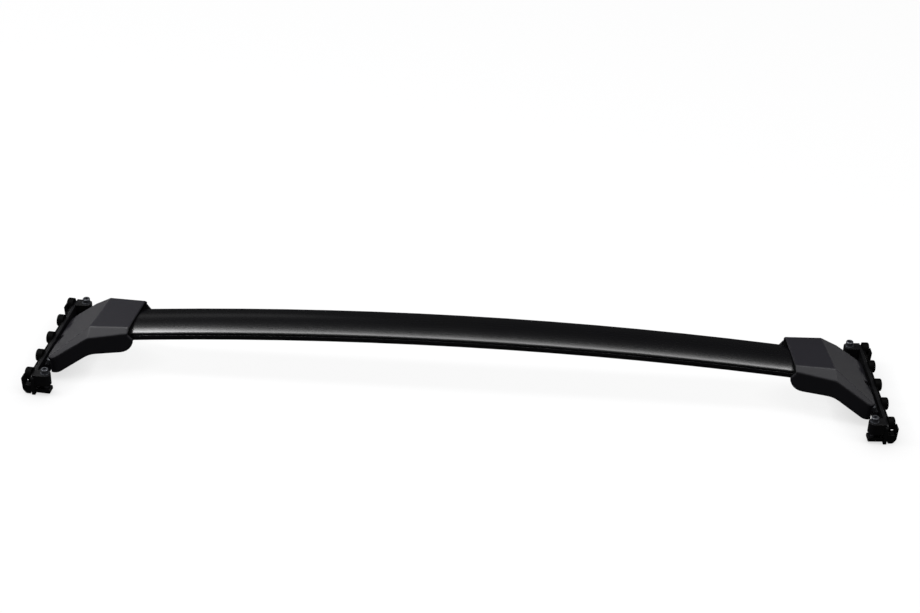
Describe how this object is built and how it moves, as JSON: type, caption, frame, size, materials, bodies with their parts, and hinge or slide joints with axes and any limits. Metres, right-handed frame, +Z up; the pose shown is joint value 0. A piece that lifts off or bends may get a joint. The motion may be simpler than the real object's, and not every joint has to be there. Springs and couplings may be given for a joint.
{
  "type": "roof rack crossbar",
  "caption": "Bowed aluminium roof bar with a moulded foot at each end that clamps to the side rails of a car.",
  "frame": {"origin": "on the ground under the middle of the bar", "axes": "+X along the bar to the right foot, +Y across it to the rear nose, +Z up"},
  "size_m": [1.1568, 0.1966, 0.0895],
  "materials": {
    "bar_anodised": "satin",
    "cover_plastic": "matte",
    "seal_rubber": "matte",
    "casting_aluminium": "matte",
    "bracket_steel": "satin",
    "pad_rubber": "matte",
    "hook_steel": "satin",
    "screw_steel": "satin"
  },
  "bodies": {
    "bar_and_feet": {"crossbar": "bar_anodised", "foot_cover_left": "cover_plastic", "mouth_seal_left": "seal_rubber", "foot_casting_left": "casting_aluminium", "rail_bracket_left": "bracket_steel", "rail_pad_left": "pad_rubber", "clamp_washers_left": "screw_steel", "bar_screws_left": "screw_steel", "bracket_screws_left": "screw_steel", "cover_screw_left": "screw_steel", "foot_cover_right": "cover_plastic", "mouth_seal_right": "seal_rubber", "foot_casting_right": "casting_aluminium", "rail_bracket_right": "bracket_steel", "rail_pad_right": "pad_rubber", "clamp_washers_right": "screw_steel", "bar_screws_right": "screw_steel", "bracket_screws_right": "screw_steel", "cover_screw_right": "screw_steel"},
    "hook_front_left": {"clamp_hook_front_left": "hook_steel", "clamp_nut_front_left": "screw_steel"},
    "bolt_front_left": {"clamp_bolt_front_left": "screw_steel"},
    "hook_rear_left": {"clamp_hook_rear_left": "hook_steel", "clamp_nut_rear_left": "screw_steel"},
    "bolt_rear_left": {"clamp_bolt_rear_left": "screw_steel"},
    "hook_front_right": {"clamp_hook_front_right": "hook_steel", "clamp_nut_front_right": "screw_steel"},
    "bolt_front_right": {"clamp_bolt_front_right": "screw_steel"},
    "hook_rear_right": {"clamp_hook_rear_right": "hook_steel", "clamp_nut_rear_right": "screw_steel"},
    "bolt_rear_right": {"clamp_bolt_rear_right": "screw_steel"}
  },
  "joints": [
    {"name": "bolt_front_left_turn", "type": "hinge", "parent": "bar_and_feet", "child": "bolt_front_left", "pos_m": [-0.54637, -0.09069, 0.03], "axis": [0, 0, -1], "range_deg": [0, 1800]},
    {"name": "hook_front_left_lift", "type": "slide", "parent": "bar_and_feet", "child": "hook_front_left", "axis": [0, 0, 1], "range_m": [0, 0.005]},
    {"name": "bolt_rear_left_turn", "type": "hinge", "parent": "bar_and_feet", "child": "bolt_rear_left", "pos_m": [-0.53077, 0.08763, 0.03], "axis": [0, 0, -1], "range_deg": [0, 1800]},
    {"name": "hook_rear_left_lift", "type": "slide", "parent": "bar_and_feet", "child": "hook_rear_left", "axis": [0, 0, 1], "range_m": [0, 0.005]},
    {"name": "bolt_front_right_turn", "type": "hinge", "parent": "bar_and_feet", "child": "bolt_front_right", "pos_m": [0.54637, -0.09069, 0.03], "axis": [0, 0, -1], "range_deg": [0, 1800]},
    {"name": "hook_front_right_lift", "type": "slide", "parent": "bar_and_feet", "child": "hook_front_right", "axis": [0, 0, 1], "range_m": [0, 0.005]},
    {"name": "bolt_rear_right_turn", "type": "hinge", "parent": "bar_and_feet", "child": "bolt_rear_right", "pos_m": [0.53077, 0.08763, 0.03], "axis": [0, 0, -1], "range_deg": [0, 1800]},
    {"name": "hook_rear_right_lift", "type": "slide", "parent": "bar_and_feet", "child": "hook_rear_right", "axis": [0, 0, 1], "range_m": [0, 0.005]}
  ],
  "couplings": [
    {"joint": "bolt_front_left_turn", "follows": "hook_front_left_lift", "rad_per_m": 6283},
    {"joint": "bolt_rear_left_turn", "follows": "hook_rear_left_lift", "rad_per_m": 6283},
    {"joint": "bolt_front_right_turn", "follows": "hook_front_right_lift", "rad_per_m": 6283},
    {"joint": "bolt_rear_right_turn", "follows": "hook_rear_right_lift", "rad_per_m": 6283}
  ]
}
